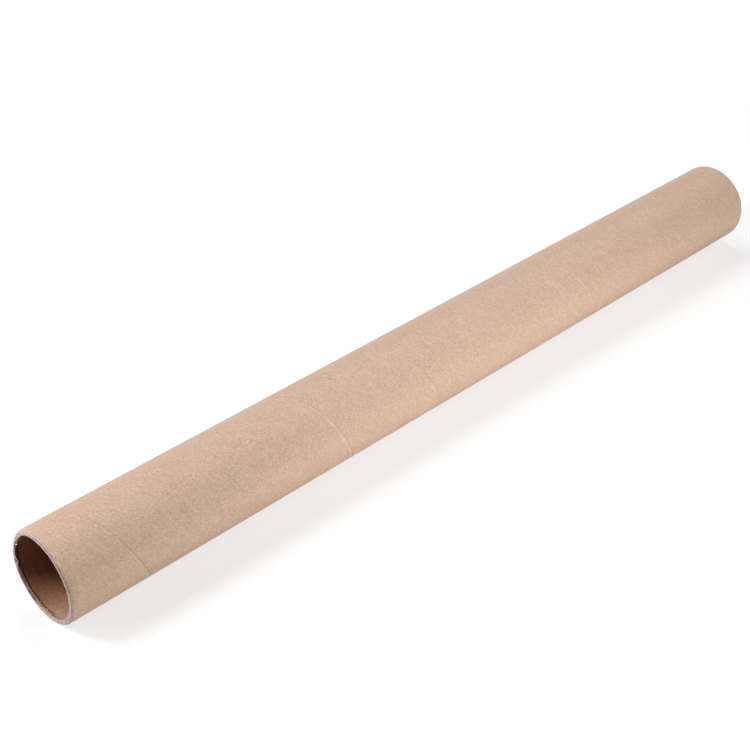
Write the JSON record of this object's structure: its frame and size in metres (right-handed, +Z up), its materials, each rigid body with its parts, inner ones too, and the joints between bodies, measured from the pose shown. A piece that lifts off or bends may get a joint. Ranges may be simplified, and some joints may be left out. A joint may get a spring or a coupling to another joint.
{
  "type": "cardboard mailing tube",
  "caption": "Long straight tube of spirally wound cardboard with two open, flat-cut ends, lying on its side.",
  "frame": {"origin": "on the surface that the tube lies on, under the middle of its length", "axes": "+X along the tube from the end seen open in the picture to the far end, +Y level across it, +Z up"},
  "size_m": [0.62, 0.058, 0.058],
  "materials": {
    "kraft_board": "matt unbleached kraft paper with fine fibres, paler at the cut ends"
  },
  "bodies": {
    "root": {"tube": "kraft_board"}
  },
  "joints": []
}
